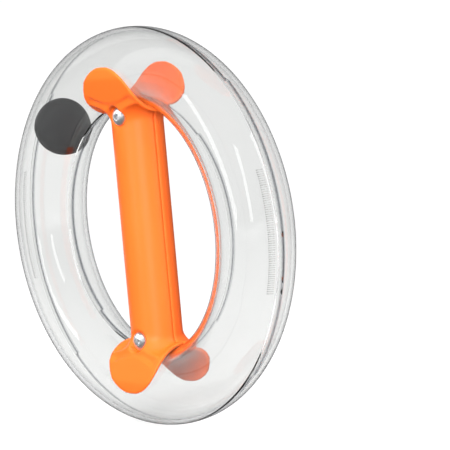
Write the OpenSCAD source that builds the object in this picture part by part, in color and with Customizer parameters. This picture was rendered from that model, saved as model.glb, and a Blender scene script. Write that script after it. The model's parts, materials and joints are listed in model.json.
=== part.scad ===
// Hand-held coordination ring: a closed clear tube ring with a ball rolling inside it,
// held by a two-part grip across its middle. Ring axis along Y (front towards -Y), grip along Z,
// origin at the middle of the ring.

/* [Ring] */
// Outside diameter of the clear ring
ring_d = 240; // [220:5:260]
// Outside diameter of the clear tube
tube_d = 45.5; // [44:0.5:47]
// Wall thickness of the clear tube
wall = 2.5; // [2.2:0.1:3]
// How far the rear shell's tongue reaches into the front shell
tongue_h = 2.4; // [1.6:0.1:3]
// How far the parting line steps to either side of the middle
seam_step = 0.8; // [0.4:0.1:1.2]
// Number of arcs round the seam, alternately forward and back
seam_arcs = 4; // [4:2:10]
// Where the first arc starts, counted round the ring from +X towards +Z
seam_turn = 45; // [10:5:50]

/* [Ball] */
// Diameter of the rolling ball
ball_d = 36; // [30:1:37]
// Where the ball rests, counted round the ring from +X towards +Z
ball_angle = 140; // [0:5:355]

/* [Grip] */
// Width of the grip, across the ring's face
grip_w = 32.5; // [30:0.5:34]
// Depth of the grip, along the ring's axis
grip_t = 30.5; // [29:0.5:31.5]
// Wall thickness of the hollow grip halves
grip_wall = 3; // [2.5:0.1:4]
// Height of the solid webs that carry the dowels
web_h = 10; // [8:1:14]
// Distance of each dowel from the middle of the grip
dowel_z = 38; // [34:1:42]
// Diameter of the locating dowels
dowel_d = 5; // [4:0.5:6]
// Radius of the fillet that flares the grip into its saddles
flare_r = 13; // [10:1:16]
// How far the flare stands in front of the grip, under the ears
flare_lift = 3; // [1.5:0.5:3]

/* [Saddles] */
// Radius of each round ear, seen along the ring's axis
ear_r = 24.8; // [23:0.2:25]
// Distance of an ear's centre from the middle of the ring
ear_z = 73.2; // [72:0.1:73.5]
// Thickness of the ears over the tube
ear_t = 2.5; // [2:0.1:3]
// Tilt of the ears' flat faces
ear_tilt = 18; // [12:1:24]
// Distance of the lowest point of the flat faces from the middle of the ring
face_z = 75.6; // [75:0.1:77]
// Radius of the arc that bounds the flat faces below
face_r = 41; // [38:1:46]

/* [Screws] */
// Thread diameter of the two grip screws
screw_d = 6; // [5:0.5:6]
// Diameter of the domed screw heads
head_d = 11.2; // [10.4:0.1:11.4]
// Height of the domed screw heads
head_h = 3.3; // [2.8:0.1:3.5]
// Key size of the hexagon sockets
key_af = 4; // [3:0.5:4]
// Distance of each screw from the middle of the grip
screw_z = 67.5; // [66:0.1:68.5]
// Distance of the tip of a screw head from the ring's mid-plane
head_top = 16.2; // [15.2:0.1:16.4]
// Length of a screw under its head
screw_l = 22; // [20:0.5:22]
// Diameter of the round recess round each screw head
recess_d = 13; // [12.4:0.1:13.2]
// Width across the flats of the hexagon nuts
nut_af = 10; // [9:0.5:10]
// Thickness of the hexagon nuts
nut_t = 5; // [4:0.5:5]

/* [Hidden] */
$fn = 96;
tube_r = tube_d / 2;
ring_r = ring_d / 2 - tube_r;
bore_r = tube_r - wall;
lap_r = tube_r - wall / 2;
gap = 0.05;
seat_gap = 0.1;
saddle_r = tube_r + ear_t;
pad_y = saddle_r - 0.9;
flare_top = 4;
hole_r = ring_r - tube_r;
big = 2 * ring_d;
arc = 360 / seam_arcs;
barrel_l = 2 * (ring_r - tube_r / 2);
pocket_end = screw_z - 12;
seat_y = head_top - head_h;
nut_y = screw_l - seat_y - nut_t;
hole_clear = 0.3;
nut_clear = 0.2;
clear = [0.88, 0.92, 0.94, 0.35];
orange = [1, 0.5, 0.15];
zinc = [0.75, 0.76, 0.78];
black = [0.1, 0.1, 0.11];

// Turns a shape drawn about Z so that its axis is the ring's: +Z becomes the front, +Y up
module ring_axes() {
  rotate([90, 0, 0])
    children();
}

// Half of the plane of the tube's section, from height h forward (side = 1) or back (side = -1)
module half_plane(h, side) {
  translate([0, side > 0 ? h : h - tube_d])
    square([ring_d, tube_d]);
}

// Wall of the tube in section between two radii
module wall_section(outer, inner) {
  translate([ring_r, 0])
    difference() {
      circle(r = outer);
      circle(r = inner);
    }
}

// Front shell in section: it laps outside the rear shell's tongue, and its edge is at height h
module front_section(h) {
  intersection() {
    wall_section(tube_r, lap_r);
    half_plane(h, 1);
  }
  intersection() {
    wall_section(lap_r + gap, bore_r);
    half_plane(tongue_h + gap, 1);
  }
}

// Rear shell in section: its edge is at height h, and its thin tongue passes the mid-plane
module rear_section(h) {
  intersection() {
    wall_section(tube_r, lap_r - gap);
    half_plane(h, -1);
  }
  intersection() {
    wall_section(lap_r - gap, bore_r);
    half_plane(tongue_h, -1);
  }
}

// Arcs of the wall's outer layer between the two steps of the seam, from the first arc given
module seam_notches(first) {
  for (i = [first : 2 : seam_arcs - 1])
    rotate([0, 0, seam_turn + arc * i])
      rotate_extrude(angle = arc)
        difference() {
          translate([hole_r / 2, -seam_step])
            square([ring_d / 2, 2 * seam_step]);
          translate([ring_r, 0])
            circle(r = lap_r - 2 * gap);
        }
}

module front_shell() {
  color(clear)
    ring_axes()
      difference() {
        rotate_extrude()
          front_section(-seam_step);
        seam_notches(0);
      }
}

module rear_shell() {
  color(clear)
    ring_axes()
      difference() {
        rotate_extrude()
          rear_section(seam_step);
        seam_notches(1);
      }
}

module rolling_ball() {
  color(black)
    rotate([0, -ball_angle, 0])
      translate([ring_r, 0, 0])
        sphere(d = ball_d);
}

// Solid ring of round section about the ring's axis
module solid_ring(r) {
  ring_axes()
    rotate_extrude()
      translate([ring_r, 0])
        circle(r = r);
}

// Oval of the grip, less a margin all round
function oval(margin) = [
  for (a = [0 : 5 : 355])
    [(grip_w / 2 - margin) * cos(a), (grip_t / 2 - margin) * sin(a)]
];

// Flare at the upper end of the grip: a concave fillet turned about the grip's axis, cut flat
// front and back so that it stays under the ears
module flare() {
  low = hole_r - flare_r;
  reach = grip_w / 2 + flare_r;
  intersection() {
    rotate_extrude()
      difference() {
        translate([0, low])
          square([reach - 1, flare_r + flare_top]);
        translate([reach - 1, low])
          circle(r = flare_r);
      }
    translate([-ear_r, -grip_t / 2 - flare_lift, 0])
      cube([2 * ear_r, grip_t + 2 * flare_lift, ring_r]);
  }
}

// Everything between the tilted flat faces of one pair of ears
module between_faces() {
  touch_z = ring_r - saddle_r * sin(ear_tilt);
  touch_y = saddle_r * cos(ear_tilt);
  intersection_for (side = [-1, 1])
    translate([0, side * touch_y, touch_z])
      rotate([-side * ear_tilt, 0, 0])
        translate([-ear_r, side > 0 ? -big : 0, -big / 2])
          cube([2 * ear_r, big, big]);
}

// Disc about an axis along Y, at height z, as deep as the ears are
module deep_disc(r, z) {
  translate([0, 0, z])
    rotate([90, 0, 0])
      cylinder(r = r, h = 2 * pad_y, center = true);
}

// Round ears and the saddle between them, at the upper end of the grip
module saddle() {
  intersection() {
    deep_disc(ear_r, ear_z);
    between_faces();
    union() {
      solid_ring(saddle_r);
      deep_disc(face_r, face_z + face_r);
    }
  }
}

// Outside of the whole grip, before it is split
module grip_body() {
  difference() {
    union() {
      linear_extrude(height = barrel_l, center = true)
        polygon(oval(0));
      for (turn = [0, 180])
        rotate([turn, 0, 0]) {
          flare();
          saddle();
        }
    }
    solid_ring(tube_r + seat_gap);
  }
}

// Hollow spaces inside the grip, between the dowel webs and the solid ends
module pockets() {
  web_low = dowel_z - web_h / 2;
  web_high = dowel_z + web_h / 2;
  linear_extrude(height = 2 * web_low, center = true)
    polygon(oval(grip_wall));
  for (turn = [0, 180])
    rotate([turn, 0, 0])
      translate([0, 0, web_high])
        linear_extrude(height = pocket_end - web_high)
          polygon(oval(grip_wall));
}

// Cylinder along Y at height z, from y0 to y1
module along_y(d, y0, y1, z, sides = 96) {
  translate([0, y1, z])
    rotate([90, 0, 0])
      cylinder(d = d, h = y1 - y0, $fn = sides);
}

module handle_front() {
  color(orange)
    difference() {
      intersection() {
        grip_body();
        translate([-big / 2, -big, -big / 2])
          cube(big);
      }
      pockets();
      for (side = [-1, 1]) {
        along_y(screw_d + 2 * hole_clear, -tube_d, 1, side * screw_z);
        along_y(recess_d, -tube_d, -seat_y, side * screw_z);
        along_y(dowel_d + 2 * seat_gap, -grip_t / 4 - 1, 1, side * dowel_z);
      }
    }
}

module handle_rear() {
  color(orange) {
    difference() {
      intersection() {
        grip_body();
        translate([-big / 2, 0, -big / 2])
          cube(big);
      }
      pockets();
      for (side = [-1, 1]) {
        along_y(screw_d + 2 * hole_clear, -1, tube_d, side * screw_z);
        along_y((nut_af + 2 * nut_clear) / cos(30), nut_y, tube_d, side * screw_z, 6);
      }
    }
    for (side = [-1, 1])
      along_y(dowel_d, -grip_t / 4, 1, side * dowel_z);
  }
}

// Button-head screw with a hexagon socket, its head towards the front
module screw(z) {
  cap_r = (pow(head_d / 2, 2) + pow(head_h, 2)) / (2 * head_h);
  color(zinc)
    union() {
      difference() {
        intersection() {
          along_y(head_d, -head_top, -seat_y, z);
          translate([0, -head_top + cap_r, z])
            sphere(r = cap_r);
        }
        along_y(key_af / cos(30), -head_top - 1, -head_top + head_h * 0.6, z, 6);
      }
      along_y(screw_d - 2 * gap, -seat_y - 0.01, screw_l - seat_y, z);
    }
}

module upper_screw() {
  screw(screw_z);
}

module lower_screw() {
  screw(-screw_z);
}

// Hexagon nut in the rear half of the grip
module nut(z) {
  color(zinc)
    difference() {
      along_y(nut_af / cos(30), nut_y, nut_y + nut_t, z, 6);
      along_y(screw_d, nut_y - 1, nut_y + nut_t + 1, z);
    }
}

module upper_nut() {
  nut(screw_z);
}

module lower_nut() {
  nut(-screw_z);
}

front_shell();
rear_shell();
rolling_ball();
handle_front();
handle_rear();
upper_screw();
lower_screw();
upper_nut();
lower_nut();
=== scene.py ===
"""Hand-held coordination ring: a clear tube ring with a rolling ball, and an orange grip across its hole.

Every class below is one sub-assembly of the object. Lengths are in metres, in the frame of the CAD model:
the ring's axis lies along Y with its front towards -Y, and the grip stands along Z.
"""

import json
import logging
import math
from dataclasses import dataclass
from enum import Enum
from typing import Callable, Optional, Union

import bmesh
import bpy
from mathutils import Matrix, Quaternion, Vector

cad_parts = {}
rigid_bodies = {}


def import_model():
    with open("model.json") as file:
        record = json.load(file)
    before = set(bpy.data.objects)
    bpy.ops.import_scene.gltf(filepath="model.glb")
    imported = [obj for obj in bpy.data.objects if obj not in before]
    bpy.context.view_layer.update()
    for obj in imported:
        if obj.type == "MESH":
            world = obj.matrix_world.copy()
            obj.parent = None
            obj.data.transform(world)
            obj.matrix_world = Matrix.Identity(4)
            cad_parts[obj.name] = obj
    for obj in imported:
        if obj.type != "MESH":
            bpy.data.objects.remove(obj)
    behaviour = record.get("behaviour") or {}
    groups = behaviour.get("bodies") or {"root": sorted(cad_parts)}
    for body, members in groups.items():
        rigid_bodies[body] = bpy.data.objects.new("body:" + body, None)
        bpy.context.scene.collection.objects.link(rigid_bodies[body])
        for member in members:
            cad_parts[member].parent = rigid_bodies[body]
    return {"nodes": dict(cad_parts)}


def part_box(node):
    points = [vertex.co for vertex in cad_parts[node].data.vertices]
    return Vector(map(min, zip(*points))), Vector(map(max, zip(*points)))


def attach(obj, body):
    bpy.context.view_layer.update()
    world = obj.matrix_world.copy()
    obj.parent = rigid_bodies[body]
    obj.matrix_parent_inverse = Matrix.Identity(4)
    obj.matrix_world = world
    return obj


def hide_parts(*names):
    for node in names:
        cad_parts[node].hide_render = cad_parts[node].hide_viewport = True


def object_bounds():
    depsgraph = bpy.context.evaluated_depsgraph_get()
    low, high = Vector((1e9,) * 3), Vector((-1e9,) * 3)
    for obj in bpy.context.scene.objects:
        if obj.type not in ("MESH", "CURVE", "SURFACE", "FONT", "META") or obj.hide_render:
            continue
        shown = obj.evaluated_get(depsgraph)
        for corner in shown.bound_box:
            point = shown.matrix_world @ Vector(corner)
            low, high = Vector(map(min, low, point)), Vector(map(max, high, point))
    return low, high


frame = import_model()
CAD_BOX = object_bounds()

log = logging.getLogger("ring")
MM = 0.001
SEAM_STEP = 0.8 * MM
NEAR = 1e-6
WELD = 1e-7
ORIGIN = (0.0, 0.0, 0.0)
Colour = tuple[float, float, float]
Stops = tuple[tuple[float, float], ...]


class Body(Enum):
    """The moving bodies of the model."""

    RING = "ring"
    BALL = "ball"


class Slot(Enum):
    """The material slots of the record."""

    CLEAR = "clear_shell"
    RUBBER = "ball_rubber"
    ORANGE = "orange_plastic"
    ZINC = "zinc_steel"


class Side(Enum):
    """Which way a half faces along the ring's axis."""

    FRONT = -1
    REAR = 1


# --------------------------------------------------------------------------------------------------
# Shader maths
# --------------------------------------------------------------------------------------------------


class Value:
    """A number's socket in a node tree, on which Python's operators add Math nodes."""

    def __init__(self, shader: "ShaderTree", socket: bpy.types.NodeSocket) -> None:
        """Wraps a socket of a tree."""
        self.shader = shader
        self.socket = socket

    def _math(self, operation: str, first: "Number", second: "Number") -> "Value":
        """Adds one Math node.

        Args:
            operation: the node's operation.
            first: its first value.
            second: its second value.

        Returns:
            The node's result.
        """
        return self.shader.node("ShaderNodeMath", {"operation": operation}, {0: first, 1: second})

    def __add__(self, other: "Number") -> "Value":
        """The sum."""
        return self._math("ADD", self, other)

    def __radd__(self, other: "Number") -> "Value":
        """The sum, with the number first."""
        return self._math("ADD", other, self)

    def __sub__(self, other: "Number") -> "Value":
        """The difference."""
        return self._math("SUBTRACT", self, other)

    def __rmul__(self, other: "Number") -> "Value":
        """The product, with the number first."""
        return self._math("MULTIPLY", other, self)


Number = Union[Value, float]


class ShaderTree:
    """A material's node tree, with one Principled shader at its end."""

    def __init__(self, name: str) -> None:
        """Makes an empty material.

        Args:
            name: the material's name.
        """
        self.material = bpy.data.materials.new(name)
        self.material.use_nodes = True
        self.tree = self.material.node_tree
        self.tree.nodes.clear()
        self.output = self.tree.nodes.new("ShaderNodeOutputMaterial")
        self.surface = self.tree.nodes.new("ShaderNodeBsdfPrincipled")
        self.tree.links.new(self.surface.outputs[0], self.output.inputs["Surface"])
        self.place = self.node("ShaderNodeTexCoord", {}, {}, "Object")

    def node(
        self,
        kind: str,
        settings: dict[str, object],
        inputs: dict[Union[str, int], object],
        result: Union[str, int] = 0,
    ) -> Value:
        """Adds any node.

        Args:
            kind: the node's type.
            settings: its properties, set first. The key "stops" sets a ramp's positions and colours.
            inputs: values or links for its sockets.
            result: which output to return.

        Returns:
            The output, wrapped.
        """
        made = self.tree.nodes.new(kind)
        for key, setting in settings.items():
            if key == "stops":
                self._set_stops(made.color_ramp, setting)
            else:
                setattr(made, key, setting)
        for key, given in inputs.items():
            self._feed(made.inputs[key], given)
        return Value(self, made.outputs[result])

    @staticmethod
    def _set_stops(ramp: bpy.types.ColorRamp, stops: Stops) -> None:
        """Gives a grey ramp its stops, as pairs of place and brightness."""
        for index, (place, grey) in enumerate(stops):
            stop = ramp.elements[index] if index < 2 else ramp.elements.new(place)
            stop.position = place
            stop.color = (grey, grey, grey, 1.0)

    def _feed(self, socket: bpy.types.NodeSocket, given: object) -> None:
        """Links a wrapped value to a socket, or sets the socket's own value."""
        if isinstance(given, Value):
            self.tree.links.new(given.socket, socket)
        elif isinstance(given, tuple) and socket.type == "RGBA":
            socket.default_value = (*given, 1.0)
        else:
            socket.default_value = given

    def along(self, axis: str) -> Value:
        """The place on the piece along one axis, in metres."""
        return self.node("ShaderNodeSeparateXYZ", {}, {"Vector": self.place}, axis)

    def size(self, value: Value) -> Value:
        """Takes the sign off a value."""
        return self.node("ShaderNodeMath", {"operation": "ABSOLUTE"}, {0: value})

    def greater(self, first: Value, second: Value) -> Value:
        """1 where the first value is the greater, and 0 elsewhere."""
        return self.node("ShaderNodeMath", {"operation": "GREATER_THAN"}, {0: first, 1: second})

    def noise(self, scale: float, detail: float, rough: float = 0.5) -> Value:
        """Soft random pattern on the piece.

        Args:
            scale: cells per metre.
            detail: octaves.
            rough: share of the finer octaves.

        Returns:
            A value around one half.
        """
        sizes = {"Vector": self.place, "Scale": scale, "Detail": detail, "Roughness": rough}
        return self.node("ShaderNodeTexNoise", {}, sizes)

    def ramp(self, value: Value, stops: Stops) -> Value:
        """Maps a value through grey stops."""
        return self.node("ShaderNodeValToRGB", {"stops": stops}, {0: value})

    def blend(self, share: Value, low: Colour, high: Colour) -> Value:
        """Mixes two colours.

        Args:
            share: how much of the second.
            low: the first colour.
            high: the second colour.

        Returns:
            The mixed colour.
        """
        colours = {0: share, 6: low, 7: high}
        return self.node("ShaderNodeMix", {"data_type": "RGBA"}, colours, 2)

    def bump(self, height: Value, strength: float, distance: float) -> Value:
        """Turns a height into a normal.

        Args:
            height: the height pattern.
            strength: how much of it shows.
            distance: its real height.

        Returns:
            The normal.
        """
        sizes = {"Strength": strength, "Distance": distance, "Height": height}
        return self.node("ShaderNodeBump", {}, sizes, "Normal")

    def finish(self, **inputs: object) -> bpy.types.Material:
        """Feeds the Principled shader.

        Args:
            inputs: socket names, with underscores for spaces, and what feeds them.

        Returns:
            The material.
        """
        for key, given in inputs.items():
            self._feed(self.surface.inputs[key.replace("_", " ")], given)
        return self.material


# --------------------------------------------------------------------------------------------------
# Finishes
# --------------------------------------------------------------------------------------------------


@dataclass(frozen=True)
class ClearPlastic:
    """Polished clear plastic, darker edge on from smoke and painted shade, smokier along the bonded seam,
    with ripples and scuffs.
    """

    tint: Colour = (0.9, 0.905, 0.9)
    # Edge-on tint: partly smoke through the longer path, partly painted shade along the silhouettes.
    edge_smoke_and_shade: Colour = (0.12, 0.13, 0.14)
    bond_tint: Colour = (0.46, 0.47, 0.49)
    bond_width: float = 2.0 * MM
    seam_step: float = SEAM_STEP
    edge_smoke_and_shade_stops: Stops = ((0.4, 0.0), (0.62, 0.4), (0.85, 1.0))
    bond_stops: Stops = ((0.45, 1.0), (1.0, 0.0))
    view_blend: float = 0.35
    ior: float = 1.49
    polish: float = 0.012
    scuff: float = 0.05
    scuff_scale: float = 160.0
    scuff_stops: Stops = ((0.62, 0.0), (0.8, 1.0))
    ripple_scale: float = 45.0
    ripple_strength: float = 0.12
    ripple_height: float = 0.4 * MM

    def material(self) -> bpy.types.Material:
        """The finish as a material."""
        tree = ShaderTree("clear_plastic")
        patches = tree.ramp(tree.noise(self.scuff_scale, 6.0, 0.7), self.scuff_stops)
        ripples = tree.noise(self.ripple_scale, 1.0)
        # Darker where the wall is seen edge on: depth is that share, partly smoke, partly painted shade
        # along the silhouettes.
        facing = tree.node("ShaderNodeLayerWeight", {}, {"Blend": self.view_blend}, "Facing")
        depth = tree.ramp(facing, self.edge_smoke_and_shade_stops)
        beside = tree.greater(tree.size(tree.along("X")), tree.size(tree.along("Z")))
        seam_y = 2 * self.seam_step * beside - self.seam_step
        off_seam = tree.size(tree.along("Y") - seam_y)
        bond = tree.ramp((2 / self.bond_width) * off_seam, self.bond_stops)
        return tree.finish(
            Base_Color=tree.blend(bond, tree.blend(depth, self.tint, self.edge_smoke_and_shade), self.bond_tint),
            Roughness=self.polish + self.scuff * patches,
            IOR=self.ior,
            Transmission_Weight=1.0,
            Normal=tree.bump(ripples, self.ripple_strength, self.ripple_height),
        )


@dataclass(frozen=True)
class OrangePlastic:
    """Satin moulded plastic with a fine eroded grain."""

    colour: Colour = (0.98, 0.155, 0.016)
    deep: Colour = (0.95, 0.14, 0.013)
    gloss: float = 0.32
    ior: float = 1.5
    grain_scale: float = 2600.0
    grain_dulls: float = 0.1
    grain_strength: float = 0.12
    grain_height: float = 0.05 * MM
    flow_scale: float = 35.0
    rub_scale: float = 105.0
    rub_stops: Stops = ((0.4, 0.0), (0.75, 1.0))
    rub_dulls: float = 0.05

    def material(self) -> bpy.types.Material:
        """The finish as a material."""
        tree = ShaderTree("orange_plastic")
        flow = tree.noise(self.flow_scale, 3.0)
        grain = tree.noise(self.grain_scale, 3.0, 0.6)
        rubbed = tree.ramp(tree.noise(self.rub_scale, 5.0, 0.65), self.rub_stops)
        return tree.finish(
            Base_Color=tree.blend(flow, self.deep, self.colour),
            Roughness=self.gloss + self.grain_dulls * grain + self.rub_dulls * rubbed,
            IOR=self.ior,
            Normal=tree.bump(grain, self.grain_strength, self.grain_height),
        )


@dataclass(frozen=True)
class BlackRubber:
    """Matt black rubber with a dusty bloom and a fine moulded texture."""

    colour: Colour = (0.006, 0.006, 0.007)
    bloom: Colour = (0.018, 0.018, 0.019)
    bloom_scale: float = 120.0
    bloom_stops: Stops = ((0.35, 0.0), (0.75, 1.0))
    dullness: float = 0.62
    shine: float = 0.25
    grain_scale: float = 900.0
    grain_dulls: float = 0.2
    grain_strength: float = 0.15
    grain_height: float = 0.08 * MM

    def material(self) -> bpy.types.Material:
        """The finish as a material."""
        tree = ShaderTree("black_rubber")
        dust = tree.ramp(tree.noise(self.bloom_scale, 6.0, 0.65), self.bloom_stops)
        grain = tree.noise(self.grain_scale, 4.0, 0.6)
        return tree.finish(
            Base_Color=tree.blend(dust, self.colour, self.bloom),
            Roughness=self.dullness + self.grain_dulls * grain,
            Specular_IOR_Level=self.shine,
            Normal=tree.bump(grain, self.grain_strength, self.grain_height),
        )


@dataclass(frozen=True)
class ZincSteel:
    """Bright zinc-plated steel with fine turning marks."""

    colour: Colour = (0.8, 0.81, 0.83)
    dull: Colour = (0.62, 0.63, 0.65)
    cloud_scale: float = 380.0
    metallic: float = 0.9
    polish: float = 0.24
    mark_scale: float = 1400.0
    mark_dulls: float = 0.14
    mark_strength: float = 0.1
    mark_height: float = 0.05 * MM

    def material(self) -> bpy.types.Material:
        """The finish as a material."""
        tree = ShaderTree("zinc_steel")
        cloud = tree.noise(self.cloud_scale, 4.0, 0.6)
        marks = tree.noise(self.mark_scale, 2.0)
        return tree.finish(
            Base_Color=tree.blend(cloud, self.dull, self.colour),
            Metallic=self.metallic,
            Roughness=self.polish + self.mark_dulls * marks,
            Normal=tree.bump(marks, self.mark_strength, self.mark_height),
        )


# --------------------------------------------------------------------------------------------------
# Work at the bench: selecting, shaping and finishing a piece
# --------------------------------------------------------------------------------------------------


class Bench:
    """The hand work that every piece needs, as thin wrappers round Blender's operators."""

    @staticmethod
    def clear() -> None:
        """Deselects everything."""
        for other in bpy.context.selected_objects:
            other.select_set(False)

    @staticmethod
    def take(piece: bpy.types.Object) -> bpy.types.Object:
        """Makes a piece the only selected one, and the active one."""
        Bench.clear()
        piece.select_set(True)
        bpy.context.view_layer.objects.active = piece
        return piece

    @staticmethod
    def edit(piece: bpy.types.Object, mode: str = "VERT") -> None:
        """Goes into edit mode on one piece, with one kind of element."""
        Bench.take(piece)
        bpy.ops.object.mode_set(mode="EDIT")
        bpy.ops.mesh.select_mode(type=mode)

    @staticmethod
    def leave() -> None:
        """Goes back to object mode."""
        bpy.ops.object.mode_set(mode="OBJECT")

    @staticmethod
    def pick(
        piece: bpy.types.Object, wanted: Callable[[Vector], bool], kind: str = "verts"
    ) -> None:
        """Selects a piece's elements by their place, in edit mode.

        Args:
            piece: the piece in edit mode.
            wanted: says whether an element at this place is wanted.
            kind: verts, edges or faces; edges and faces go by their middle.
        """
        bpy.ops.mesh.select_all(action="DESELECT")
        mesh = bmesh.from_edit_mesh(piece.data)
        for element in getattr(mesh, kind):
            if kind == "verts":
                place = element.co
            else:
                place = sum((v.co for v in element.verts), Vector()) / len(element.verts)
            if wanted(place):
                element.select_set(True)
        mesh.select_flush_mode()
        bmesh.update_edit_mesh(piece.data)

    @staticmethod
    def close_up(distance: float = NEAR) -> None:
        """Merges doubles and turns the faces outwards, in edit mode."""
        bpy.ops.mesh.select_all(action="SELECT")
        bpy.ops.mesh.remove_doubles(threshold=distance)
        bpy.ops.mesh.normals_make_consistent(inside=False)

    @staticmethod
    def modify(piece: bpy.types.Object, kind: str, **settings: object) -> None:
        """Adds a modifier and applies it.

        Args:
            piece: the piece.
            kind: the modifier's type.
            settings: its properties.
        """
        Bench.take(piece)
        modifier = piece.modifiers.new(kind.lower(), kind)
        for key, setting in settings.items():
            setattr(modifier, key, setting)
        bpy.ops.object.modifier_apply(modifier=modifier.name)

    @staticmethod
    def smooth(piece: bpy.types.Object, degrees: float = 35.0) -> None:
        """Shades a piece smooth, apart from edges sharper than an angle."""
        Bench.take(piece)
        bpy.ops.object.shade_smooth_by_angle(angle=math.radians(degrees))

    @staticmethod
    def cut(piece: bpy.types.Object, tool: bpy.types.Object) -> None:
        """Cuts a tool out of a piece and throws the tool away."""
        Bench.modify(piece, "BOOLEAN", operation="DIFFERENCE", solver="EXACT", object=tool)
        bpy.data.objects.remove(tool)

    @staticmethod
    def seat(piece: bpy.types.Object) -> None:
        """Puts a piece's place into its mesh, so that its object sits at the origin."""
        Bench.take(piece)
        bpy.ops.object.transform_apply(location=True, rotation=True, scale=True)

    @staticmethod
    def copy(piece: bpy.types.Object, name: str, move: Matrix) -> bpy.types.Object:
        """Copies a piece with a mesh of its own.

        Args:
            piece: the piece to copy.
            name: the copy's name.
            move: where the copy's mesh goes.

        Returns:
            The copy.
        """
        twin = piece.copy()
        twin.data = piece.data.copy()
        twin.name = name
        twin.data.transform(move)
        bpy.context.scene.collection.objects.link(twin)
        return twin

    @staticmethod
    def dress(
        piece: bpy.types.Object,
        material: bpy.types.Material,
        slot: Slot,
        body: Body,
        stands_for: Optional[str] = None,
    ) -> None:
        """Gives a piece its material and the body it rides on.

        Args:
            piece: the finished piece.
            material: its finish.
            slot: its slot in the record; not used.
            body: the body it rides on.
            stands_for: the CAD node that it is shown instead of.
        """
        piece.data.materials.clear()
        piece.data.materials.append(material)
        if stands_for:
            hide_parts(stands_for)
        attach(piece, body.value)
        log.info("%s: %d faces on %s", piece.name, len(piece.data.polygons), body.value)


# --------------------------------------------------------------------------------------------------
# The clear ring
# --------------------------------------------------------------------------------------------------


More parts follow.
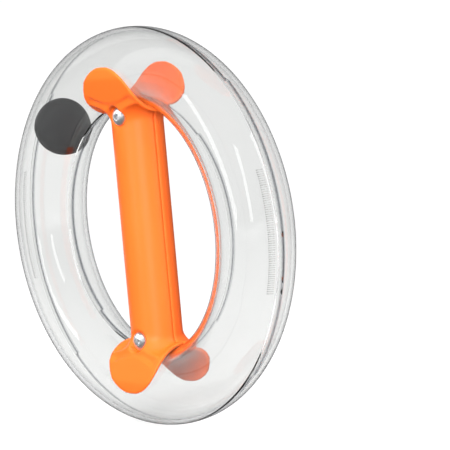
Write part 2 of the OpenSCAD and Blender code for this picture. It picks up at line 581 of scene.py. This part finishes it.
@dataclass
class ClearRing:
    """Two clear half shells that make a closed round tube, lapped where they meet."""

    ring_r: float
    tube_r: float
    wall: float = 2.5 * MM
    tongue: float = 2.4 * MM
    lap_gap: float = 0.05 * MM
    seam_step: float = SEAM_STEP
    seam_arcs: int = 4
    seam_turn: float = math.radians(45)
    section_sides: int = 112
    turns: int = 320

    @classmethod
    def from_frame(cls) -> "ClearRing":
        """Takes the ring's sizes from the CAD shells.

        Returns:
            The ring.
        """
        low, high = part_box("front_shell")
        tube_r = -low.y
        return cls(ring_r=high.x - tube_r, tube_r=tube_r)

    def _step(self, place: Vector) -> float:
        """How far the parting line is moved along the axis at this place round the ring."""
        turn = math.atan2(place.z, place.x) - self.seam_turn - math.pi / self.turns
        arc = math.floor((turn % math.tau) / (math.tau / self.seam_arcs))
        return -self.seam_step if arc % 2 == 0 else self.seam_step

    def _from_tube(self, place: Vector) -> float:
        """Distance of a place from the tube's centre line."""
        return math.hypot(math.hypot(place.x, place.z) - self.ring_r, place.y)

    def _skin(self, radius: float, name: str) -> bpy.types.Object:
        """Makes a circle of the tube's section, as a piece of its own."""
        Bench.clear()
        bpy.ops.mesh.primitive_circle_add(
            vertices=self.section_sides, radius=radius, location=(self.ring_r, 0, 0)
        )
        skin = bpy.context.object
        skin.name = name
        Bench.seat(skin)
        return skin

    def _shell(self, side: Side) -> bpy.types.Object:
        """Models one half shell.

        The outer and inner half circles of the section are joined at both ends by the stepped lap,
        the closed outline is spun round the ring's axis, and the outer lip is then stepped.

        Args:
            side: which half.

        Returns:
            The shell.
        """
        way = side.value
        bore_r = self.tube_r - self.wall
        lap_r = self.tube_r - self.wall / 2
        lip_y = way * self.lap_gap / 2
        if side is Side.FRONT:
            lap_r += self.lap_gap / 2
            inner_y = way * (self.tongue + self.lap_gap)
        else:
            lap_r -= self.lap_gap / 2
            inner_y = -way * self.tongue
        shell = self._skin(self.tube_r, f"{side.name.lower()}_clear_shell")
        lining = self._skin(bore_r, "lining")
        self._trim(shell, lip_y, way)
        self._trim(lining, inner_y, way)
        Bench.take(shell)
        lining.select_set(True)
        bpy.ops.object.join()
        Bench.edit(shell)
        for radial in (-1, 1):
            self._lap(shell, radial, (bore_r, lap_r), (lip_y, inner_y))
        bpy.ops.mesh.select_all(action="SELECT")
        bpy.ops.mesh.spin(steps=self.turns, angle=math.tau, center=ORIGIN, axis=(0, 1, 0))
        Bench.close_up()
        self._step_lip(shell, lap_r, lip_y)
        Bench.leave()
        Bench.smooth(shell, 40)
        return shell

    def _trim(self, skin: bpy.types.Object, height: float, way: int) -> None:
        """Cuts a circle of the section at a height and keeps the half that lies the given way."""
        Bench.edit(skin)
        bpy.ops.mesh.select_all(action="SELECT")
        bpy.ops.mesh.bisect(
            plane_co=(0, height, 0), plane_no=(0, -way, 0), clear_outer=True, threshold=WELD
        )
        Bench.leave()

    def _lap(
        self,
        shell: bpy.types.Object,
        radial: int,
        radii: tuple[float, float],
        heights: tuple[float, float],
    ) -> None:
        """Joins the outer and the inner skin at one end of the section with a stepped lap.

        Args:
            shell: the outline, in edit mode.
            radial: 1 on the ring's outer wall, -1 on its inner wall.
            radii: the bore's and the lap's radius.
            heights: where the outer and the inner skin end.
        """
        bore_r, lap_r = radii
        lip_y, inner_y = heights
        tiny = 1e-5

        def at(radius: float, height: float) -> Callable[[Vector], bool]:
            """Picks the corner of the outline at a radius and a height."""
            return lambda p: (
                abs(p.y - height) < tiny
                and (p.x - self.ring_r) * radial > 0
                and abs(self._from_tube(p) - radius) < tiny
            )

        lap_x = self.ring_r + radial * lap_r
        Bench.pick(shell, at(self.tube_r, lip_y))
        start = self.ring_r + radial * math.sqrt(self.tube_r**2 - lip_y**2)
        self._extend((lap_x - start, 0, 0))
        self._extend((0, inner_y - lip_y, 0))
        corner = Vector((lap_x, inner_y, 0))
        end = at(bore_r, inner_y)
        Bench.pick(shell, lambda p: (p - corner).length < tiny or end(p))
        bpy.ops.mesh.edge_face_add()

    @staticmethod
    def _extend(move: tuple[float, float, float]) -> None:
        """Draws the outline on from the picked corner."""
        bpy.ops.mesh.extrude_vertices_move(TRANSFORM_OT_translate={"value": move})

    def _step_lip(self, shell: bpy.types.Object, lap_r: float, lip_y: float) -> None:
        """Moves the outer lip forward and back by arcs, which steps the parting line."""
        for move in (-self.seam_step, self.seam_step):
            Bench.pick(
                shell,
                lambda p: abs(p.y - lip_y) < NEAR
                and self._from_tube(p) > lap_r - NEAR
                and self._step(p) == move,
            )
            bpy.ops.transform.translate(value=(0, move, 0))

    def build(self, finish: ClearPlastic) -> None:
        """Models and dresses both shells.

        Args:
            finish: the clear plastic.
        """
        material = finish.material()
        for side, node in ((Side.FRONT, "front_shell"), (Side.REAR, "rear_shell")):
            shell = self._shell(side)
            shell.visible_shadow = False
            Bench.dress(shell, material, Slot.CLEAR, Body.RING, node)
        for name, middle in (("right_ribs", 0.0), ("left_ribs", math.pi)):
            RibRun(name, self.ring_r, self.tube_r, middle).build(material)


@dataclass
class RibRun:
    """Run of fine moulded ribs on the ring's outer wall, beside the seam."""

    name: str
    ring_r: float
    tube_r: float
    middle: float
    span: float = math.radians(34)
    pitch: float = 1.25 * MM
    off_seam: float = math.radians(19)
    length: float = 4.0 * MM
    width: float = 0.45 * MM
    height: float = 0.22 * MM
    corner: float = 0.14 * MM

    def build(self, material: bpy.types.Material) -> None:
        """Models one rib, repeats it round the ring's axis and dresses the run.

        Args:
            material: the clear plastic.
        """
        rise = self.tube_r * math.sin(self.off_seam)
        reach = self.ring_r + self.tube_r * math.cos(self.off_seam)
        Bench.clear()
        bpy.ops.mesh.primitive_cube_add(size=1.0)
        run = bpy.context.object
        run.name = self.name
        Bench.edit(run, "EDGE")
        bpy.ops.mesh.select_all(action="SELECT")
        bpy.ops.transform.resize(value=(2 * self.height, self.length, self.width))
        bpy.ops.mesh.bevel(offset=self.corner, segments=1, affect="EDGES")
        Bench.leave()
        start = self.middle - self.span / 2
        place = Matrix.Translation((reach, -rise, 0)) @ Matrix.Rotation(-self.off_seam, 4, "Z")
        run.data.transform(Matrix.Rotation(-start, 4, "Y") @ place)
        Bench.edit(run)
        bpy.ops.mesh.select_all(action="SELECT")
        steps = round(self.span * reach / self.pitch)
        bpy.ops.mesh.spin(steps=steps, dupli=True, angle=self.span, center=ORIGIN, axis=(0, 1, 0))
        Bench.close_up(WELD)
        Bench.leave()
        Bench.smooth(run, 50)
        run.visible_shadow = False
        Bench.dress(run, material, Slot.CLEAR, Body.RING)


# --------------------------------------------------------------------------------------------------
# The ball
# --------------------------------------------------------------------------------------------------


@dataclass
class RollingBall:
    """Black rubber ball with the fine bead of its mould's parting line."""

    centre: Vector
    radius: float
    bead: float = 0.12 * MM
    bead_width: float = 0.4 * MM
    sides: int = 128
    rings: int = 64
    tilt: tuple[float, float] = (math.radians(28), math.radians(35))

    @classmethod
    def from_frame(cls) -> "RollingBall":
        """Takes the ball's place and size from the CAD ball.

        Returns:
            The ball.
        """
        low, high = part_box("rolling_ball")
        return cls(centre=(low + high) / 2, radius=(high - low).z / 2)

    def build(self, finish: BlackRubber) -> None:
        """Models and dresses the ball.

        Args:
            finish: the rubber.
        """
        Bench.clear()
        size = self.radius - self.bead
        bpy.ops.mesh.primitive_uv_sphere_add(
            segments=self.sides, ring_count=self.rings, radius=size
        )
        ball = bpy.context.object
        ball.name = "rubber_ball"
        Bench.edit(ball)
        Bench.pick(ball, lambda p: abs(p.z) < NEAR)
        bpy.ops.mesh.bevel(offset=self.bead_width, segments=2, affect="EDGES")
        Bench.pick(ball, lambda p: abs(p.z) < NEAR)
        grow = self.radius / size
        bpy.ops.transform.resize(value=(grow, grow, 1))
        Bench.leave()
        over, round_y = self.tilt
        turn = Matrix.Rotation(over, 4, "X") @ Matrix.Rotation(round_y, 4, "Y")
        ball.data.transform(Matrix.Translation(self.centre) @ turn)
        Bench.smooth(ball, 60)
        Bench.dress(ball, finish.material(), Slot.RUBBER, Body.BALL, "rolling_ball")


# --------------------------------------------------------------------------------------------------
# The grip
# --------------------------------------------------------------------------------------------------


@dataclass
class Grip:
    """Two orange halves that clasp the ring's inner wall, with soft moulded edges."""

    voxel: float = 0.7 * MM
    rounds: int = 22
    rounding: float = 0.5

    def _half(self, node: str, name: str) -> bpy.types.Object:
        """Softens one half of the CAD grip into a moulding.

        Args:
            node: the CAD node.
            name: the piece's name.

        Returns:
            The piece.
        """
        source = frame["nodes"][node]
        half = bpy.data.objects.new(name, source.data.copy())
        bpy.context.scene.collection.objects.link(half)
        Bench.edit(half)
        Bench.close_up()
        Bench.leave()
        Bench.modify(half, "REMESH", mode="VOXEL", voxel_size=self.voxel, adaptivity=0.0)
        Bench.modify(half, "SMOOTH", factor=self.rounding, iterations=self.rounds)
        Bench.smooth(half, 180)
        return half

    def build(self, finish: OrangePlastic) -> None:
        """Models and dresses both halves.

        Args:
            finish: the orange plastic.
        """
        material = finish.material()
        for node, name in (("handle_front", "front_grip"), ("handle_rear", "rear_grip")):
            Bench.dress(self._half(node, name), material, Slot.ORANGE, Body.RING, node)


# --------------------------------------------------------------------------------------------------
# The fasteners
# --------------------------------------------------------------------------------------------------


@dataclass
class Fasteners:
    """Button-head screws through the grip, and the hexagon nuts that they pull on."""

    screw_z: float
    head_r: float
    tip_y: float
    end_y: float
    nut_low: Vector
    nut_high: Vector
    head_h: float = 3.3 * MM
    rim_h: float = 0.9 * MM
    thread_r: float = 2.95 * MM
    thread_depth: float = 0.45 * MM
    pitch: float = 1.0 * MM
    key_r: float = 2.3 * MM
    key_depth: float = 2.0 * MM
    sides: int = 48
    dome_steps: int = 9
    dome_turn: float = math.radians(78)
    dome_power: float = 0.8
    head_edge: float = 0.12 * MM
    nut_edge: float = 0.35 * MM
    nut_play: float = 0.05 * MM
    screw_turn: float = math.radians(17)

    @classmethod
    def from_frame(cls) -> "Fasteners":
        """Takes the fasteners' places and sizes from the CAD screw and nut.

        Returns:
            The fasteners.
        """
        low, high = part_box("upper_screw")
        nut_low, nut_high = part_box("upper_nut")
        centre_z = (low.z + high.z) / 2
        head_r = (high.z - low.z) / 2
        return cls(centre_z, head_r, low.y, high.y, nut_low, nut_high)

    @staticmethod
    def _raise(height: float, scale: float) -> None:
        """Extrudes the picked face along the screw's axis and scales it."""
        bpy.ops.mesh.extrude_region_move(TRANSFORM_OT_translate={"value": (0, 0, height)})
        bpy.ops.transform.resize(value=(scale, scale, 1))

    def _screw(self) -> bpy.types.Object:
        """Models a screw about Z, its head upwards and the head's tip at the origin.

        Returns:
            The screw.
        """
        Bench.clear()
        bpy.ops.mesh.primitive_circle_add(
            vertices=self.sides,
            radius=self.head_r,
            fill_type="NGON",
            location=(0, 0, -self.head_h),
        )
        screw = bpy.context.object
        Bench.seat(screw)
        Bench.edit(screw, "FACE")
        bpy.ops.mesh.select_all(action="SELECT")
        self._raise(self.rim_h, 1.0)
        dome_h = self.head_h - self.rim_h
        radius = self.head_r
        height = 0.0
        for step in range(1, self.dome_steps + 1):
            turn = self.dome_turn * step / self.dome_steps
            new_radius = self.head_r * math.cos(turn) ** self.dome_power
            new_height = dome_h * math.sin(turn)
            self._raise(new_height - height, new_radius / radius)
            radius = new_radius
            height = new_height
        Bench.pick(screw, lambda p: p.z < -self.head_h + NEAR, "faces")
        self._shank()
        Bench.close_up(WELD)
        Bench.leave()
        Bench.clear()
        bpy.ops.mesh.primitive_cylinder_add(
            vertices=6, radius=self.key_r, depth=2 * self.key_depth, location=ORIGIN
        )
        key = bpy.context.object
        Bench.seat(key)
        Bench.cut(screw, key)
        soft = {"segments": 2, "angle_limit": math.radians(40)}
        Bench.modify(screw, "BEVEL", width=self.head_edge, **soft)
        Bench.smooth(screw, 35)
        return screw

    def _shank(self) -> None:
        """Draws the shank out of the picked underside of the head, with the thread as rings."""
        length = self.end_y - self.tip_y - self.head_h
        self._raise(0.0, self.thread_r / self.head_r)
        rings = round(length / self.pitch)
        root = 1 - self.thread_depth / self.thread_r
        for _ in range(rings):
            self._raise(-length / rings / 2, root)
            self._raise(-length / rings / 2, 1 / root)

    def _nut(self) -> bpy.types.Object:
        """Models a nut about Z, with its corners turned down.

        Returns:
            The nut.
        """
        flats = self.nut_high.z - self.nut_low.z
        thick = self.nut_high.y - self.nut_low.y
        corner_r = flats / 2 / math.cos(math.pi / 6)
        Bench.clear()
        bpy.ops.mesh.primitive_cylinder_add(vertices=6, radius=corner_r, depth=thick)
        nut = bpy.context.object
        Bench.clear()
        bpy.ops.mesh.primitive_cylinder_add(
            vertices=self.sides, radius=self.thread_r + self.nut_play, depth=2 * thick
        )
        Bench.cut(nut, bpy.context.object)
        soft = {"segments": 3, "angle_limit": math.radians(50)}
        Bench.modify(nut, "BEVEL", width=self.nut_edge, **soft)
        Bench.smooth(nut, 35)
        return nut

    def build(self, finish: ZincSteel) -> None:
        """Models one screw and one nut, copies them to both ends and dresses them.

        Args:
            finish: the plated steel.
        """
        material = finish.material()
        to_front = Matrix.Rotation(math.pi / 2, 4, "X")
        screw = self._screw()
        nut = self._nut()
        nut_y = (self.nut_low.y + self.nut_high.y) / 2
        for name, way in (("upper", 1), ("lower", -1)):
            end = way * self.screw_z
            turn = Matrix.Rotation(way * self.screw_turn, 4, "Z")
            place = Matrix.Translation((0, self.tip_y, end)) @ to_front @ turn
            made = Bench.copy(screw, f"{name}_button_screw", place)
            Bench.dress(made, material, Slot.ZINC, Body.RING, f"{name}_screw")
            place = Matrix.Translation((0, nut_y, end)) @ to_front
            made = Bench.copy(nut, f"{name}_hex_nut", place)
            Bench.dress(made, material, Slot.ZINC, Body.RING, f"{name}_nut")
        bpy.data.objects.remove(screw)
        bpy.data.objects.remove(nut)


# --------------------------------------------------------------------------------------------------
# The studio
# --------------------------------------------------------------------------------------------------


@dataclass(frozen=True)
class SoftBox:
    """A rectangular studio light that faces the object."""

    name: str
    azimuth: float
    elevation: float
    distance: float
    width: float
    height: float
    power: float
    mirrored: bool = True
    lean: float = 0.0

    def hang(self) -> bpy.types.Object:
        """Puts the light in the scene.

        Returns:
            The light.
        """
        data = bpy.data.lights.new(self.name, "AREA")
        data.shape = "RECTANGLE"
        data.size = self.width
        data.size_y = self.height
        data.energy = self.power
        lamp = bpy.data.objects.new(self.name, data)
        bpy.context.scene.collection.objects.link(lamp)
        back = direction(self.azimuth, self.elevation)
        lamp.location = back * self.distance
        lamp.rotation_mode = "QUATERNION"
        tilt = Quaternion((0, 0, 1), math.radians(self.lean))
        lamp.rotation_quaternion = back.to_track_quat("Z", "Y") @ tilt
        lamp.visible_camera = False
        lamp.visible_transmission = False
        lamp.visible_glossy = self.mirrored
        return lamp


def direction(azimuth: float, elevation: float) -> Vector:
    """Unit vector from the object towards a place round it.

    Args:
        azimuth: degrees round Z, 0 in front of the object at -Y and 90 at +X.
        elevation: degrees above the horizon.

    Returns:
        The direction.
    """
    turn = math.radians(azimuth)
    rise = math.radians(elevation)
    flat = math.cos(rise)
    return Vector((math.sin(turn) * flat, -math.cos(turn) * flat, math.sin(rise)))


@dataclass
class Studio:
    """Pale floor that sweeps up into a backdrop, dim surroundings and soft boxes."""

    floor_z: float
    facing: float = 49.6
    width: float = 16.0
    ahead: float = 8.0
    behind: float = 2.2
    wall: float = 4.0
    cove: float = 1.2
    cove_steps: int = 40
    paper: Colour = (0.4, 0.4, 0.4)
    paper_shade: Colour = (0.42, 0.42, 0.42)
    paper_glow: float = 0.62
    backdrop_light: float = 0.97
    light_above: float = 0.8
    light_below: float = 0.38
    mirrored_share: float = 0.3
    bounces: int = 24

    def _sweep(self) -> None:
        """Lays the floor just under the ring and bends it up behind the ring."""
        Bench.clear()
        bpy.ops.mesh.primitive_plane_add(size=1.0)
        sweep = bpy.context.object
        sweep.name = "floor"
        Bench.edit(sweep, "EDGE")
        bpy.ops.mesh.select_all(action="SELECT")
        length = self.ahead + self.behind
        bpy.ops.transform.resize(value=(self.width, length, 1))
        bpy.ops.transform.translate(value=(0, (self.behind - self.ahead) / 2, 0))
        tiny = 1e-4
        Bench.pick(sweep, lambda p: p.y > self.behind - tiny, "edges")
        bpy.ops.mesh.extrude_region_move(TRANSFORM_OT_translate={"value": (0, 0, self.wall)})
        Bench.pick(sweep, lambda p: p.y > self.behind - tiny and abs(p.z) < tiny, "edges")
        bpy.ops.mesh.bevel(offset=self.cove, segments=self.cove_steps, affect="EDGES")
        Bench.leave()
        turn = Matrix.Rotation(math.radians(self.facing), 4, "Z")
        sweep.data.transform(Matrix.Translation((0, 0, self.floor_z)) @ turn)
        Bench.smooth(sweep, 60)
        tree = ShaderTree("floor_paper")
        shade = tree.noise(3.0, 2.0)
        tint = tree.blend(shade, self.paper, self.paper_shade)
        glow = {"Emission_Color": (1.0, 1.0, 1.0), "Emission_Strength": self.paper_glow}
        sweep.data.materials.append(tree.finish(Base_Color=tint, Roughness=0.9, **glow))
        sweep.visible_diffuse = False
        sweep.visible_glossy = False

    def _surroundings(self) -> None:
        """Lights the scene from all round, mostly from above, and shows plain white behind it."""
        world = bpy.data.worlds.new("surroundings")
        bpy.context.scene.world = world
        world.use_nodes = True
        nodes = world.node_tree.nodes
        links = world.node_tree.links
        nodes.clear()
        output = nodes.new("ShaderNodeOutputWorld")
        mix = nodes.new("ShaderNodeMixShader")
        path = nodes.new("ShaderNodeLightPath")
        seen = nodes.new("ShaderNodeMath")
        seen.operation = "MAXIMUM"
        links.new(path.outputs["Is Camera Ray"], seen.inputs[0])
        links.new(path.outputs["Is Transmission Ray"], seen.inputs[1])
        place = nodes.new("ShaderNodeTexCoord")
        split = nodes.new("ShaderNodeSeparateXYZ")
        links.new(place.outputs["Generated"], split.inputs[0])
        fade = nodes.new("ShaderNodeMapRange")
        links.new(split.outputs["Z"], fade.inputs["Value"])
        spans = {
            "From Min": -0.3,
            "From Max": 0.3,
            "To Min": self.light_below,
            "To Max": self.light_above,
        }
        for key, setting in spans.items():
            fade.inputs[key].default_value = setting
        share = nodes.new("ShaderNodeMapRange")
        links.new(path.outputs["Is Diffuse Ray"], share.inputs["Value"])
        share.inputs["To Min"].default_value = self.mirrored_share
        strength = nodes.new("ShaderNodeMath")
        strength.operation = "MULTIPLY"
        links.new(fade.outputs[0], strength.inputs[0])
        links.new(share.outputs[0], strength.inputs[1])
        cast = nodes.new("ShaderNodeBackground")
        links.new(strength.outputs[0], cast.inputs["Strength"])
        shown = nodes.new("ShaderNodeBackground")
        shown.inputs["Strength"].default_value = self.backdrop_light
        links.new(seen.outputs[0], mix.inputs[0])
        links.new(cast.outputs[0], mix.inputs[1])
        links.new(shown.outputs[0], mix.inputs[2])
        links.new(mix.outputs[0], output.inputs["Surface"])

    def _spare_lights(self) -> None:
        """Hangs a light for the back that spares the paper, and two that only the metal catches."""
        pieces = bpy.data.collections.new("lit_from_behind")
        metal = bpy.data.collections.new("bright_metal")
        for piece in bpy.context.scene.objects:
            finishes = {m.name.split(".")[0] for m in getattr(piece.data, "materials", ())}
            if finishes and "floor_paper" not in finishes:
                pieces.objects.link(piece)
            if "zinc_steel" in finishes:
                metal.objects.link(piece)
        for box, lit in (
            (SoftBox("back_fill", 228, 28, 1.8, 0.9, 0.9, 26, mirrored=False), pieces),
            (SoftBox("left_glint", -46, 14, 1.5, 0.8, 0.9, 9), metal),
            (SoftBox("high_glint", 20, 46, 1.5, 0.9, 0.5, 7), metal),
        ):
            box.hang().light_linking.receiver_collection = lit

    def build(self) -> None:
        """Makes the floor, the surroundings and the lights."""
        self._sweep()
        self._surroundings()
        for box in (
            SoftBox("key_light", 34, 24, 1.8, 0.9, 0.9, 40, mirrored=False),
            SoftBox("front_fill", 46, -4, 1.8, 0.9, 0.9, 8, mirrored=False),
            SoftBox("top_light", 60, 72, 1.8, 0.9, 0.9, 14, mirrored=False),
            SoftBox("front_strip", -8, 13, 1.6, 0.3, 1.1, 4.6, lean=38),
            SoftBox("sheen_strip", 46, 17, 1.6, 0.22, 1.0, 3),
            SoftBox("right_strip", 112, 20, 1.5, 0.25, 1.2, 4),
        ):
            box.hang()
        self._spare_lights()
        scene = bpy.context.scene
        scene.view_settings.view_transform = "Standard"
        scene.cycles.max_bounces = self.bounces
        scene.cycles.transmission_bounces = self.bounces
        scene.cycles.transparent_max_bounces = self.bounces


@dataclass(frozen=True)
class Viewpoint:
    """The camera: a long lens from the ring's right, a little above it and rolled to the left.

    Distances are in radii of the tube's centre line, measured from the middle of the ring.
    """

    azimuth: float = 49.6
    elevation: float = 5.58
    roll: float = -5.07
    distance: float = 12.328
    aside: float = 0.479
    above: float = 0.010
    lens: float = 160.0

    def build(self, ring_r: float) -> None:
        """Sets the scene's camera.

        Args:
            ring_r: radius of the tube's centre line.
        """
        data = bpy.data.cameras.new("camera")
        data.lens = self.lens
        data.sensor_width = 36.0
        data.clip_end = 200.0
        camera = bpy.data.objects.new("camera", data)
        bpy.context.scene.collection.objects.link(camera)
        back = direction(self.azimuth, self.elevation)
        turn = math.radians(self.azimuth)
        level = Vector((math.cos(turn), math.sin(turn), 0))
        rise = back.cross(level)
        lean = math.radians(self.roll)
        right = level * math.cos(lean) + rise * math.sin(lean)
        up = back.cross(right)
        place = right * self.aside + up * self.above + back * self.distance
        axes = Matrix((right, up, back)).transposed().to_4x4()
        camera.matrix_world = Matrix.Translation(place * ring_r) @ axes
        bpy.context.scene.camera = camera


def main() -> None:
    """Builds the object and the studio, with the floor at the bottom of the CAD model's box."""
    logging.basicConfig(level=logging.INFO, format="%(name)s: %(message)s")
    ring = ClearRing.from_frame()
    Viewpoint().build(ring.ring_r)
    ring.build(ClearPlastic())
    RollingBall.from_frame().build(BlackRubber())
    Grip().build(OrangePlastic())
    Fasteners.from_frame().build(ZincSteel())
    Studio(floor_z=CAD_BOX[0].z).build()


if __name__ == "__main__":
    main()
